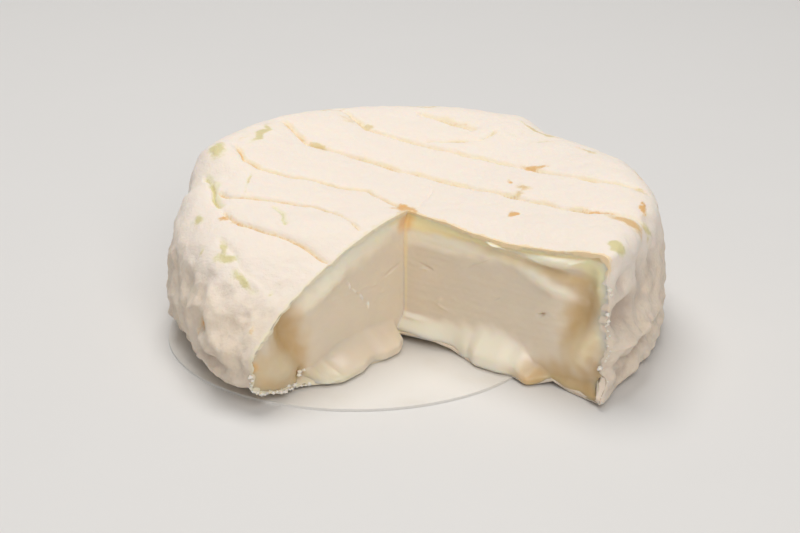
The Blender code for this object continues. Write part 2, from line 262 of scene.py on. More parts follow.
# Stains of the rind, in mm: centre, half length, half width, heading in degrees, tint, strength
STAINS = (
    ((13.1, -9.4, 19.2), 1.4, 0.65, 65.0, 1.9, 1.0),
    ((13.1, 2.2, 19.6), 0.8, 0.5, 90.0, 1.9, 0.7),
    ((14.9, -0.2, 19.6), 1.5, 0.9, -60.0, 1.3, 0.8),
    ((14.2, -2.0, 19.5), 1.5, 0.8, 90.0, 1.2, 0.7),
    ((16.4, 7.5, 20.3), 2.6, 0.8, -20.0, 1.6, 0.9),
    ((23.8, -11.6, 20.3), 2.2, 0.9, -30.0, 1.9, 0.85),
    ((27.6, -14.7, 19.8), 3.0, 1.5, -35.0, 1.5, 1.0),
    ((30.4, -12.9, 18.3), 1.6, 1.0, 60.0, 0.3, 0.8),
    ((31.0, 3.2, 21.2), 2.4, 0.6, 90.0, 1.7, 0.8),
    ((30.2, -9.0, 20.2), 2.6, 0.4, 80.0, 1.8, 0.9),
    ((30.4, -3.0, 20.6), 1.8, 1.1, -10.0, 0.4, 0.6),
    ((18.5, 21.6, 21.6), 4.5, 0.6, -42.0, 0.5, 0.85),
    ((24.6, 12.6, 21.4), 4.5, 0.5, -50.0, 1.2, 0.6),
    ((-13.8, 15.1, 20.7), 2.0, 1.2, -25.0, 0.6, 0.8),
    ((-9.6, 24.1, 21.4), 3.2, 1.3, -35.0, 1.1, 0.5),
    ((-6.8, 22.6, 21.0), 1.2, 0.9, -20.0, 0.5, 0.65),
    ((-25.2, -8.5, 18.7), 1.0, 0.8, 0.0, 2.0, 0.7),
    ((-23.9, -10.4, 18.6), 1.1, 0.6, -20.0, 2.0, 0.8),
    ((25.4, -23.9, 20.3), 1.4, 1.0, 90.0, 0.0, 1.0),
    ((-2.0, -5.4, 18.5), 2.2, 1.3, 100.0, 1.8, 1.0),
    ((-1.4, -7.4, 18.6), 1.8, 1.4, 60.0, 1.8, 1.0),
    ((-27.8, 9.1, 21.0), 2.6, 1.4, 90.0, 0.1, 0.85),
    ((-22.0, 16.3, 21.3), 4.2, 0.7, 73.0, 0.2, 0.9),
    ((-24.4, 13.5, 21.1), 2.8, 0.5, 65.0, 1.7, 0.45),
    ((6.4, 23.9, 21.1), 3.4, 1.2, -30.0, 1.6, 0.4),
    ((11.5, 19.6, 21.1), 1.0, 0.9, 90.0, 0.2, 0.5),
    ((14.1, 19.3, 21.3), 1.8, 0.9, 0.0, 0.3, 0.35),
    ((18.6, 16.9, 21.4), 2.4, 1.0, 0.0, 0.3, 0.45),
    ((2.0, 30.6, 22.0), 5.0, 0.6, 0.0, 0.6, 0.6),
    ((-12.0, 27.8, 22.0), 3.2, 0.5, 20.0, 1.1, 0.6),
    ((-29.3, -7.1, 17.9), 1.3, 0.9, 100.0, 0.1, 0.9),
    ((-28.7, -14.0, 16.3), 1.1, 0.8, 0.0, 0.2, 0.9),
    ((-31.8, -7.5, 16.0), 1.5, 0.4, 60.0, 1.0, 0.7),
    ((-25.3, -15.3, 17.2), 2.0, 0.7, 100.0, 0.2, 0.9),
    ((-24.8, -17.3, 16.3), 1.9, 0.8, -30.0, 0.1, 0.9),
    ((-22.2, -21.5, 14.4), 2.8, 0.8, -50.0, 0.1, 0.9),
    ((-18.8, -22.8, 13.7), 0.8, 0.5, 0.0, 0.2, 0.6),
    ((-20.9, -27.3, 10.4), 0.7, 0.5, 0.0, 1.6, 0.6),
    ((-19.8, -28.2, 9.7), 0.6, 0.4, 60.0, 1.6, 0.6),
    ((-28.2, -21.6, 8.0), 1.3, 1.0, 60.0, 2.0, 1.0),
    ((26.9, -22.6, 10.2), 1.8, 1.0, -40.0, 2.0, 0.38),
)
STAIN_WANDER = 0.8
STAIN_WANDER_SCALE = 1.7 * MM
STAIN_WANDER_SHIFTS = ((0.0, 0.0, 0.0), (19.3, 4.1, 0.0), (0.0, 23.7, 8.9))
STAIN_REACHES_DOWN = 0.85

# Dents in the side: direction in degrees, level, half width, half height, depth
DENTS = (
    (-29.0, 10.6 * MM, 4.4 * MM, 2.0 * MM, 2.5 * MM),
    (-24.0, 4.2 * MM, 8.5 * MM, 1.0 * MM, 1.5 * MM),
    (-22.0, 6.7 * MM, 9.0 * MM, 0.7 * MM, -0.8 * MM),
    (-31.0, 15.2 * MM, 2.6 * MM, 1.5 * MM, 1.3 * MM),
    (-19.0, 15.2 * MM, 2.4 * MM, 1.9 * MM, 1.2 * MM),
    (-17.0, 10.4 * MM, 2.2 * MM, 2.2 * MM, 1.1 * MM),
    (-9.0, 13.0 * MM, 2.6 * MM, 3.0 * MM, 1.0 * MM),
    (-30.0, 2.2 * MM, 3.0 * MM, 1.4 * MM, 1.1 * MM),
    (208.8, 8.2 * MM, 1.5 * MM, 1.2 * MM, 1.1 * MM),
    (194.0, 3.6 * MM, 4.6 * MM, 1.1 * MM, 1.2 * MM),
    (214.0, 4.6 * MM, 5.6 * MM, 1.0 * MM, 1.4 * MM),
    (218.0, 7.4 * MM, 3.6 * MM, 0.8 * MM, -0.5 * MM),
    (196.0, 11.8 * MM, 2.4 * MM, 2.0 * MM, 0.8 * MM),
    (204.0, 12.6 * MM, 1.8 * MM, 1.6 * MM, 0.6 * MM),
    (223.0, 9.8 * MM, 1.6 * MM, 1.0 * MM, 0.6 * MM),
)
POCK_SIZE = 5.2 * MM
POCK_DEPTH = 0.75 * MM
UNEVEN_SIZE = 13.0 * MM
UNEVEN_DEPTH = 0.5 * MM

# How far the paste has run out at the foot of each cut and how high up it begins to, in mm by the
# distance from the wedge's point
RIGHT_RUN = (
    (-1.0, 1.7, 4.4),
    (4.0, 1.6, 4.4),
    (8.5, 0.4, 4.4),
    (11.5, 1.2, 5.2),
    (14.0, 2.5, 5.8),
    (17.0, 2.5, 5.8),
    (19.5, 1.9, 4.8),
    (22.0, 2.6, 2.6),
    (24.6, 0.2, 1.8),
    (28.5, 0.7, 2.0),
    (31.0, 1.9, 2.8),
    (33.0, 3.0, 3.4),
)
LEFT_RUN = (
    (1.4, 0.0, 4.2),
    (2.8, 2.6, 4.2),
    (5.5, 3.5, 4.4),
    (7.6, 3.5, 4.6),
    (9.6, 2.7, 4.4),
    (13.5, 3.7, 4.2),
    (17.0, 3.8, 3.2),
    (18.8, 3.0, 2.6),
    (20.6, 0.9, 2.4),
    (22.5, 0.3, 2.4),
    (26.0, 1.0, 2.0),
    (29.0, 1.0, 2.0),
    (31.0, 0.4, 2.0),
)
# How far the right cut's brim leans out and sags, in mm by the distance from the wedge's point
RIGHT_BRIM = (
    (0.0, -0.7, 0.0),
    (6.0, -0.4, 0.2),
    (12.0, 0.1, 0.7),
    (18.0, 0.3, 1.1),
    (24.0, 0.2, 1.1),
    (30.0, 0.1, 0.6),
    (34.0, 0.0, 0.0),
)
BRIM_DEPTH = 2.2
TOE_LENGTH = 1.6
TOE_HEIGHT = 4.5
TOE_BEGINS = 26.5
TOE_FULL_AT = 32.0

# How far the right foot stands clear of the card, in mm by the distance from the wedge's point
RIGHT_LIFT =((0.0, 1.1), (4.5, 1.4), (11.0, 0.1), (22.5, 0.0), (25.0, 0.7), (28.0, 0.0))
NO_LIFT = ((0.0, 0.0),)
RUN_FULL_AT = 0.36
RUN_UNDERCUT = 0.14
LIFT_TOP = 1.9
CUT_RELIEF_REACH = 2.6
RIND_FOLLOWS = 0.94

# One cut: its direction from the wedge's point, the side it faces, its run and its lift
RIGHT = (RIGHT_CUT, 1.0, RIGHT_RUN, RIGHT_LIFT)
LEFT = (LEFT_CUT, -1.0, LEFT_RUN, NO_LIFT)

CARD_THICKNESS = 0.35 * MM
TOUCHING_GAP = 0.03 * MM
CARD_STEP = 2.5 * MM

TOP_STEPS = 108
SIDE_STEPS = 70
BOTTOM_STEPS = 12
SWEEP_STEPS = 430
RIND_THICKNESS_ACROSS = 0.024
RIND_THICKNESS_UP = 0.048
RIND_RAGGED = 0.5
UNSURE_NORMALS = 2.0 * MM
TORN_OUT = 0.18
TORN_ALONG_TOP = 0.1
TORN_SIZE = 0.9 * MM
BACK_WALL = 3.5 * MM
PLAIN_RADIUS = 35.0 * MM
CUT_BAND = 5.0

RIND_WHITE = (0.905, 0.80, 0.695)
RIND_SHADED = (0.78, 0.655, 0.515)
RIND_PALE_OCHRE = (0.89, 0.765, 0.54)
RIND_PALE_GREEN = (0.84, 0.78, 0.53)
RIND_GREENISH = (0.70, 0.62, 0.32)
RIND_OCHRE = (0.76, 0.57, 0.30)
RIND_ORANGE = (0.78, 0.42, 0.13)
# Painted shade for the dents of the side, and also the colour of the side's grey mottles
RIND_DENT_SHADE_AND_MOTTLE = (0.56, 0.455, 0.375)
RIND_AMBER = (0.93, 0.69, 0.39)
RIND_BARE = (0.86, 0.755, 0.55)


def smooth(x, low, high):
    """0 at low, 1 at high, and a smooth way between them; low may be the larger."""
    t = max(0.0, min(1.0, (x - low) / (high - low)))
    return t * t * (3.0 - 2.0 * t)


def mix(a, b, share):
    return a + (b - a) * share


def bell(x, width):
    return math.exp(-((x / width) ** 2))


def wavy(place, size, stretch=(1.0, 1.0, 1.0)):
    """Smooth noise of about -1 to 1, with waves of about this size."""
    return noise.noise(Vector((place.x * stretch[0], place.y * stretch[1], place.z * stretch[2])) / size)


def eased(rows, x):
    """The values of the rows at x, eased from each row to the next."""
    if x <= rows[0][0]:
        return rows[0][1:]
    for before, after in zip(rows, rows[1:]):
        if x <= after[0]:
            share = smooth(x, before[0], after[0])
            return [mix(a, b, share) for a, b in zip(before[1:], after[1:])]
    return rows[-1][1:]


def rounded_square(u, w, sharpness):
    """Moves a point of the unit square onto nested superellipses, so that a box gets rounded corners."""
    longest = max(u, abs(w))
    if longest < 1e-9:
        return 0.0, 0.0
    shrink = longest / (u**sharpness + abs(w) ** sharpness) ** (1.0 / sharpness)
    return u * shrink, w * shrink


def reach(theta, radius):
    """How far the outline of this radius is from the wedge's point, in the direction theta."""
    along = WEDGE_POINT.x * math.cos(theta) + WEDGE_POINT.y * math.sin(theta)
    return math.sqrt(along**2 - WEDGE_POINT.length_squared + radius**2) - along


def base_level(x, y):
    """The level of the underside: on the card, or down beside it."""
    off_card = (Vector((x, y)) - CARD_CENTRE).length - CARD_RADIUS
    return (CARD_THICKNESS + TOUCHING_GAP) * smooth(off_card, CARD_STEP, TOUCHING_GAP)


def bend(asides, share):
    """How far a bent line is aside of its run: 0 at the ends, the asides at equal steps between them."""
    knots = (0.0, *asides, 0.0)
    place = max(0.0, min(share, 0.9999)) * (len(knots) - 1)
    before = int(place)
    return mix(knots[before], knots[before + 1], place - before)


def creases_at(x, y):
    """The folds' depth at a point of the top in metres; their stain, its thin dark line, and its tint."""
    point = Vector((x, y)) / MM
    wander = WANDER * noise.noise(Vector((x, y, 0.0)) / WANDER_SCALE)
    depth, stain, line, tint = 0.0, 0.0, 0.0, 1.0
    for start, end, asides, deepest, band, hue, strength in CREASES:
        run = Vector(end) - Vector(start)
        offset = point - Vector(start)
        share = offset.dot(run) / run.length_squared
        if not -CREASE_FADE < share < 1.0 + CREASE_FADE:
            continue
        aside = run.cross(offset) / run.length - bend(asides, share) - wander
        ends = smooth(share, -CREASE_FADE, CREASE_FADE) * smooth(share, 1.0 + CREASE_FADE, 1.0 - CREASE_FADE)
        groove = bell(aside, CREASE_HALF_WIDTH if aside > 0.0 else FRONT_HALF_WIDTH)
        shape = mix(groove, bell(aside, PILLOW_HALF_WIDTH), PILLOW_SHARE)
        shape += FOLD_LINE * bell(aside, FOLD_LINE_HALF_WIDTH)
        depth = max(depth, deepest * MM * shape * ends)
        patch = Vector((share * run.length / PATCH_LENGTH, deepest * PATCH_ROWS, 0.0))
        patchy = 0.8 + 0.8 * noise.noise(patch)
        band *= 0.6 + 0.5 * patchy
        coloured = strength * ends * patchy * bell(aside, band if aside > 0.0 else FRONT_HALF_WIDTH)
        if coloured > stain:
            stain, tint = coloured, hue
        line = max(line, strength * ends * patchy * bell(aside - STAIN_LINE_SHIFT, STAIN_LINE_HALF_WIDTH))
    return depth, stain, line, tint


def stains_at(point, top):
    """The strength and tint of the stains at a point of the rind; on top they reach down into the folds."""
    stain, tint = 0.0, 1.0
    place = point / STAIN_WANDER_SCALE
    wander = Vector([noise.noise(place + Vector(shift)) for shift in STAIN_WANDER_SHIFTS])
    wandered = point / MM + wander * STAIN_WANDER
    for centre, half_length, half_width, heading, hue, strength in STAINS:
        offset = wandered - Vector(centre)
        offset.z *= 1.0 - STAIN_REACHES_DOWN * top
        if offset.length > 3.0 * half_length:
            continue
        turn = math.radians(heading)
        along = offset.x * math.cos(turn) + offset.y * math.sin(turn)
        aside = math.sqrt(max(0.0, offset.length_squared - along**2))
        coloured = strength * bell(along, half_length) * bell(aside, half_width)
        if coloured > stain:
            stain, tint = coloured, hue
    return stain, tint


def side_depth(theta, distance, place):
    """How far the side is dented inwards: a slow unevenness, small pocks, and the named dents."""
    depth = UNEVEN_DEPTH * noise.noise(place / UNEVEN_SIZE)
    nearest = noise.voronoi(place / POCK_SIZE)[0][0]
    depth += POCK_DEPTH * smooth(nearest, 0.6, 0.0)
    for degrees, level, half_width, half_height, deepest in DENTS:
        along = distance * (theta - math.radians(degrees))
        depth += deepest * bell(along, half_width) * bell(place.z - level, half_height)
    return depth


def drum(u, theta, w):
    """A point of the cheese, and there: how much it is top, the folds' stain, line and tint, and the dent."""
    radius, level, rise, lean, shoulder, foot = eased(SECTIONS, math.degrees(theta))
    out, up = rounded_square(u, w, shoulder if w > 0 else foot)
    distance = out * (reach(theta, radius) - lean * max(0.0, up) ** 1.5)
    x = WEDGE_POINT.x + distance * math.cos(theta)
    y = WEDGE_POINT.y + distance * math.sin(theta)
    level = mix(MIDDLE_LEVEL, level, out)
    end = HEIGHT_AT_CUT + rise * out**2 if w > 0 else base_level(x, y)
    z = mix(level, end, abs(up))
    top = smooth(up, 0.25, 0.95)
    stain, line, tint, dented = 0.0, 0.0, 1.0, 0.0
    if top > 0.0:
        depth, stain, line, tint = creases_at(x, y)
        z -= depth * top
    if out > 0.7:
        dented = side_depth(theta, distance, Vector((x, y, z))) * smooth(out, 0.7, 1.0)
        dented *= smooth(abs(up), 1.0, 0.8)
    x -= dented * math.cos(theta)
    y -= dented * math.sin(theta)
    return Vector((x, y, z)), top, stain * top, line * top, tint, dented


def run_profile(level):
    """The outline of the paste that has run out, from level 0 at the foot to 1 where it begins."""
    return smooth(level, 1.0, RUN_FULL_AT) * (1.0 - RUN_UNDERCUT * smooth(level, 0.2, 0.0))


def cut_move(point, cut, follow):
    """How a point near a cut is moved: the paste runs out at its foot, lifts, and has its own relief."""
    theta, turn, run, lift = cut
    flat = point.xy - WEDGE_POINT
    along = Vector((math.cos(theta), math.sin(theta)))
    outwards = Vector((along.y, -along.x)) * turn
    rho = flat.dot(along)
    behind = min(0.0, flat.dot(outwards)) if rho > 0.0 else flat.length
    near = bell(behind / MM, CUT_RELIEF_REACH)
    if near < 0.01:
        return Vector((0.0, 0.0, 0.0))
    rho, z = rho / MM, point.z / MM
    farthest, begins = eased(run, rho)
    height = farthest * run_profile(z / begins) * follow
    raised = eased(lift, rho)[0] * near * smooth(z, LIFT_TOP, 0.0)
    if cut is LEFT:
        return Vector((*(outwards * height * near), raised)) * MM
    brim = (HEIGHT_AT_CUT + SECTIONS[0][3] * (rho * MM / SECTIONS[0][1]) ** 2) / MM
    at_brim = smooth(z, brim - BRIM_DEPTH, brim)
    leans, sags = eased(RIGHT_BRIM, rho)
    height += leans * at_brim
    raised -= sags * at_brim * near
    toe = TOE_LENGTH * smooth(rho, TOE_BEGINS, TOE_FULL_AT) * smooth(z, TOE_HEIGHT, 0.0)
    return Vector((*((outwards * height + along * toe) * near), raised)) * MM


def unwrapped(theta):
    """theta between the right cut and the left cut, counted through the back."""
    return theta + 2.0 * math.pi if theta < RIGHT_CUT - 1e-4 else theta


def into_cheese(side):
    """The level way from a cut back into the cheese: side is -1 at the right, 1 at the left, 0 between."""
    if side == 0:
        return Vector((math.cos(MIDDLE_WAY), math.sin(MIDDLE_WAY), 0.0)) / math.sin(MIDDLE_WAY - RIGHT_CUT)
    if side < 0:
        return Vector((-math.sin(RIGHT_CUT), math.cos(RIGHT_CUT), 0.0))
    return Vector((math.sin(LEFT_CUT), -math.cos(LEFT_CUT), 0.0))


def pull_rim(bm, move):
    """Draws the open rim out into a further ring, each of whose points is moved by move(vert)."""
    rim = [edge for edge in bm.edges if edge.is_boundary]
    made = bmesh.ops.extrude_edge_only(bm, edges=rim)["geom"]
    for vert in [item for item in made if isinstance(item, bmesh.types.BMVert)]:
        vert.co = vert.co + move(vert)


def close_rim(bm, side_layer):
    """Closes the rim with one wall for each cut; the two share an edge behind the wedge's point."""
    rim = [edge for edge in bm.edges if edge.is_boundary]
    ends = [vert for vert in bm.verts if vert.is_boundary and vert[side_layer] == 0]
    shared = bm.edges.new(ends)
    for side in (-1, 1):
        half = [edge for edge in rim if any(vert[side_layer] == side for vert in edge.verts)]
        bmesh.ops.triangle_fill(bm, use_beauty=True, edges=half + [shared])
    bmesh.ops.recalc_face_normals(bm, faces=bm.faces[:])


def add_piece(name, bm, finish):
    """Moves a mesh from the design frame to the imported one, and makes it a piece of the cheese."""
    bmesh.ops.translate(bm, vec=PLACE, verts=bm.verts[:])
    for face in bm.faces:
        face.smooth = True
    mesh = bpy.data.meshes.new(name)
    bm.to_mesh(mesh)
    bm.free()
    mesh.materials.append(finish)
    piece = bpy.data.objects.new(name, mesh)
    bpy.context.scene.collection.objects.link(piece)
    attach(piece, "root")
    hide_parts("cheese")
    return piece


def rind_relief(place, top, stain):
    """The rind's fine relief in mm: soft ripples along the strips on top, wrinkles and pocks at the side."""
    ripples = 0.22 * wavy(place, 7.0 * MM)
    ripples += 0.13 * wavy(place, 2.6 * MM, (0.75, 1.1, 1.0))
    ripples += 0.06 * wavy(place, 1.1 * MM)
    folded = abs(wavy(place, 4.2 * MM, (1.0, 1.0, 1.15)))
    wrinkles = 0.02 - 0.85 * folded + 0.34 * wavy(place, 1.9 * MM) + 0.15 * wavy(place, 0.9 * MM)
    torn = stain * 0.14 * wavy(place, 0.8 * MM)
    return mix(wrinkles, ripples, top) + torn


def rind_mesh():
    bm = bmesh.new()
    side_layer = bm.verts.layers.int.new("side")
    stain_layer = bm.verts.layers.float.new("stain")
    line_layer = bm.verts.layers.float.new("stain_line")
    tint_layer = bm.verts.layers.float.new("tint")
    dent_layer = bm.verts.layers.float.new("dent")
    top_layer = bm.verts.layers.float.new("top")
    edge_layer = bm.verts.layers.float.new("to_cut")
    right_layer = bm.verts.layers.float.new("right_part")
    inwards_layer = bm.verts.layers.float_vector.new("inwards")

    outline = [(step / TOP_STEPS, 1.0) for step in range(TOP_STEPS + 1)]
    outline += [(1.0, 1.0 - 2.0 * step / SIDE_STEPS) for step in range(1, SIDE_STEPS + 1)]
    outline += [(1.0 - step / BOTTOM_STEPS, -1.0) for step in range(1, BOTTOM_STEPS + 1)]
    start = Vector((math.cos(RIGHT_CUT), math.sin(RIGHT_CUT), 0.0))
    line = [bm.verts.new(start * u + Vector((0.0, 0.0, w))) for u, w in outline]
    edges = [bm.edges.new(pair) for pair in zip(line, line[1:])]
    bmesh.ops.spin(
        bm,
        geom=line + edges,
        cent=(0.0, 0.0, 0.0),
        axis=(0.0, 0.0, 1.0),
        angle=LEFT_CUT - RIGHT_CUT,
        steps=SWEEP_STEPS,
        use_merge=False,
    )
    bmesh.ops.remove_doubles(bm, verts=bm.verts[:], dist=1e-5)
    bmesh.ops.recalc_face_normals(bm, faces=bm.faces[:])
    if sum(face.normal.dot(face.calc_center_median()) for face in bm.faces) < 0.0:
        bmesh.ops.reverse_faces(bm, faces=bm.faces[:])

    for vert in bm.verts:
        u = math.hypot(vert.co.x, vert.co.y)
        theta = unwrapped(math.atan2(vert.co.y, vert.co.x)) if u > 1e-6 else MIDDLE_WAY
        point, top, stain, line, tint, dented = drum(u, theta, vert.co.z)
        spot, spot_tint = stains_at(point, top)
        if spot > line:
            line, tint = spot, spot_tint
        stain = max(stain, spot * 0.8)
        if vert.is_boundary:
            vert[side_layer] = 0 if u < 1e-6 else (-1 if theta < MIDDLE_WAY else 1)
            inner = drum(u * (1.0 - RIND_THICKNESS_ACROSS), theta, vert.co.z * (1.0 - RIND_THICKNESS_UP))[0]
            vert[inwards_layer] = inner - point
        turned_in = min(theta - RIGHT_CUT, LEFT_CUT - theta, math.pi / 2.0)
        to_cut = u * reach(theta, PLAIN_RADIUS) * math.sin(turned_in)
        vert[stain_layer] = stain
        vert[line_layer] = line
        vert[tint_layer] = tint
        vert[dent_layer] = dented / MM
        vert[top_layer] = top
        vert[edge_layer] = min(to_cut / MM, CUT_BAND)
        vert[right_layer] = 1.0 if theta < MIDDLE_WAY else 0.0
        point += cut_move(point, RIGHT, RIND_FOLLOWS) + cut_move(point, LEFT, RIND_FOLLOWS)
        point.z = max(point.z, base_level(point.x, point.y))
        vert.co = point

    bm.normal_update()
    relief = [rind_relief(vert.co, vert[top_layer], vert[stain_layer]) * MM for vert in bm.verts]
    for vert, height in zip(bm.verts, relief):
        from_point = (vert.co.xy - WEDGE_POINT).length
        way = vert.normal if from_point > UNSURE_NORMALS else Vector((0.0, 0.0, 1.0))
        near_cut = mix(0.25, 1.0, smooth(vert[edge_layer], 0.0, 2.2))
        vert.co += way * height * near_cut * smooth(vert.co.z, 0.3 * MM, 1.5 * MM)
    for vert in [vert for vert in bm.verts if vert.is_boundary]:
        torn = TORN_OUT * smooth(vert[top_layer], 1.0, 0.4) + TORN_ALONG_TOP
        torn *= wavy(vert.co, TORN_SIZE)
        vert.co -= into_cheese(vert[side_layer]) * torn * MM * smooth(vert.co.z, 0.2 * MM, 1.0 * MM)

    for edge in bm.edges:
        edge.smooth = not edge.is_boundary
    pull_rim(bm, lambda vert: vert[inwards_layer] * (1.0 + RIND_RAGGED * wavy(vert.co, TORN_SIZE)))
    pull_rim(bm, lambda vert: into_cheese(vert[side_layer]) * BACK_WALL + vert[inwards_layer] * 3.0)
    close_rim(bm, side_layer)
    bm.verts.layers.float_vector.remove(inwards_layer)
    return bm


def rind_finish():
    made, shade = new_material("bloomy_rind")
    stain = shade.attribute("stain")
    line = shade.attribute("stain_line")
    tint = shade.attribute("tint")
    dent = shade.attribute("dent")
    top = shade.attribute("top")
    to_cut = shade.attribute("to_cut")
    right_part = shade.attribute("right_part")
    broken = shade.noise(1.3 * MM, 5.0, (1.0, 1.0, 1.0), 0.65)
    cloud = shade.noise(7.0 * MM, 4.0)
    down = shade.noise(0.28 * MM, 4.0, (1.0, 1.0, 1.0), 0.7)
    tufts = shade.noise(0.9 * MM, 3.0)
    fine = shade.noise(0.6 * MM, 4.0, (1.0, 1.0, 1.0), 0.6)

    # Painted shade: the side of the rind is darker than its top, in soft clouds.
    side = (1.0 - top) * (1.0 - top)
    white = (side * 0.5 + cloud * 0.5).ramp(0.3, 0.95).blend(RIND_WHITE, RIND_SHADED)
    mottle = (broken.ramp(0.45, 0.68) * cloud.ramp(0.38, 0.62)) * side
    white = (mottle * 0.38).blend(white, RIND_DENT_SHADE_AND_MOTTLE)
    # Painted shade in the dents and pocks of the side.
    dent_shade = (dent + (broken - 0.5) * 1.2).ramp(0.4, 1.9) * side
    white = (dent_shade * 0.8).blend(white, RIND_DENT_SHADE_AND_MOTTLE)
    greener = tint.ramp(0.0, 1.0).blend(RIND_GREENISH, RIND_OCHRE)
    hue = tint.ramp(1.0, 2.0).blend(greener, RIND_ORANGE)
    halo = (stain + (broken - 0.5) * 0.5).ramp(0.12, 0.62) * 0.8
    colour = halo.blend(white, tint.ramp(0.0, 0.5).blend(RIND_PALE_GREEN, RIND_PALE_OCHRE))
    core = (line + (fine - 0.5) * 0.8).ramp(0.3, 0.75)
    colour = (core * 0.9).blend(colour, hue)
    shown = 1.0 - right_part * (1.0 - top.ramp(0.5, 0.9))
    bare = (to_cut + (broken - 0.5) * 1.8).ramp(0.6, 0.1) * 0.8 * shown
    colour = bare.blend(colour, right_part.blend(RIND_BARE, RIND_AMBER))

    sockets = {
        "Base Color": colour,
        "Roughness": 0.8 - core * 0.3,
        "Subsurface Weight": 0.3,
        "Subsurface Radius": (1.0, 0.62, 0.36),
        "Subsurface Scale": 0.7 * MM,
        "Sheen Weight": 0.12,
        "Sheen Roughness": 0.5,
        "Specular IOR Level": 0.35,
    }
    height = down * 0.5 + tufts * 0.8 + broken * core * 0.6
    return finish_material(made, sockets, height, 0.19 * MM)


add_piece("rind", rind_mesh(), rind_finish())


# The paste: soft white goat's curd, chalky in its core, ripe and yellow under the rind, and so runny
# at the foot that it has flowed out since the wedge was cut. One slab shows both cut faces.
# Hollows and swellings in mm: distance, level, half length, half height, tilt in degrees, height
RIGHT_SWELLS = (
    (25.0, 17.6, 4.4, 0.9, 8.0, 0.9),
    (20.0, 16.2, 9.0, 0.6, -2.0, -0.8),
    (24.0, 14.0, 3.6, 1.0, -16.0, 0.7),
    (1.4, 3.9, 2.4, 0.4, 0.0, 0.45),
    (28.4, 11.0, 5.6, 2.3, 78.0, -1.7),
    (29.4, 6.2, 3.4, 2.2, 62.0, 1.1),
    (31.6, 16.0, 2.5, 1.3, 80.0, 0.6),
    (3.0, 0.9, 5.0, 0.8, -4.0, -1.2),
    (15.2, 17.9, 1.3, 0.4, -12.0, 0.7),
    (4.0, 11.6, 0.8, 0.14, -12.0, -0.35),
    (3.3, 11.2, 0.7, 0.2, 10.0, 0.12),
    (6.4, 6.5, 0.9, 0.22, -20.0, 0.2),
    (6.2, 7.4, 0.5, 0.3, 30.0, 0.2),
    (22.6, 9.5, 0.5, 0.2, 22.0, -0.7),
    (12.5, 14.2, 2.4, 0.13, 28.0, -0.14),
    (15.6, 9.9, 0.5, 0.12, 30.0, -0.15),
    (27.6, 17.9, 1.4, 0.22, 30.0, 0.35),
    (22.0, 16.9, 1.8, 0.2, -14.0, 0.25),
)
LEFT_SWELLS = (
    (16.0, 12.8, 4.4, 1.2, -18.0, 0.6),
    (22.8, 8.4, 4.8, 2.2, 62.0, -1.9),
    (26.0, 4.6, 3.8, 2.3, 12.0, 1.2),
    (20.8, 1.4, 1.2, 1.6, 0.0, -1.2),
    (28.6, 1.4, 3.4, 1.0, 20.0, -0.6),
    (2.4, 11.1, 1.2, 0.14, -14.0, -0.4),
    (6.2, 10.0, 0.6, 0.12, 0.0, 0.12),
    (11.4, 11.5, 0.4, 0.14, 80.0, 0.22),
    (10.7, 10.7, 0.6, 0.1, 40.0, 0.16),
    (9.7, 9.9, 0.7, 0.1, 35.0, -0.14),
    (8.9, 9.1, 0.5, 0.13, 62.0, 0.22),
    (8.1, 8.3, 0.5, 0.1, 40.0, -0.14),
    (7.6, 7.6, 0.4, 0.13, 80.0, 0.22),
)
FACE_ACROSS = 250
FACE_UP = 140
PASTE_INSET_ACROSS = 0.005
PASTE_INSET_UP = 0.025
EDGE_SINK = 0.02
FOOT_CURL = 0.15
FOOT_CURL_HEIGHT = 0.4
CORNER_EASE = 0.6
BACK_NARROWS = 0.12

CORE =(0.77, 0.665, 0.525)
CREAM = (0.97, 0.85, 0.68)
AMBER = (0.99, 0.755, 0.42)
YELLOW = (0.89, 0.74, 0.48)
GREENISH = (0.90, 0.79, 0.48)
# The tan of the ripe paste next to the rind, darkened as painted shade in the valleys and hollows it lies in
TAN_AND_SHADE = (0.60, 0.405, 0.18)
RUNNY = (0.96, 0.85, 0.71)
# The runny paste darkened as painted shade, for the foot of the left face
RUNNY_SHADED = (0.78, 0.67, 0.535)
SWOLLEN = (0.68, 0.57, 0.39)
ORANGE = (0.80, 0.42, 0.12)
# Brown of the ripest paste at the right foot, darkened as painted shade, and painted shade deepening the left
# face's valley
BROWN_AND_SHADE = (0.52, 0.33, 0.15)
# The white of the crumbs, and also a painted highlight on the right cut's wet lip
CRUMB_WHITE_AND_HIGHLIGHT = (0.93, 0.885, 0.78)
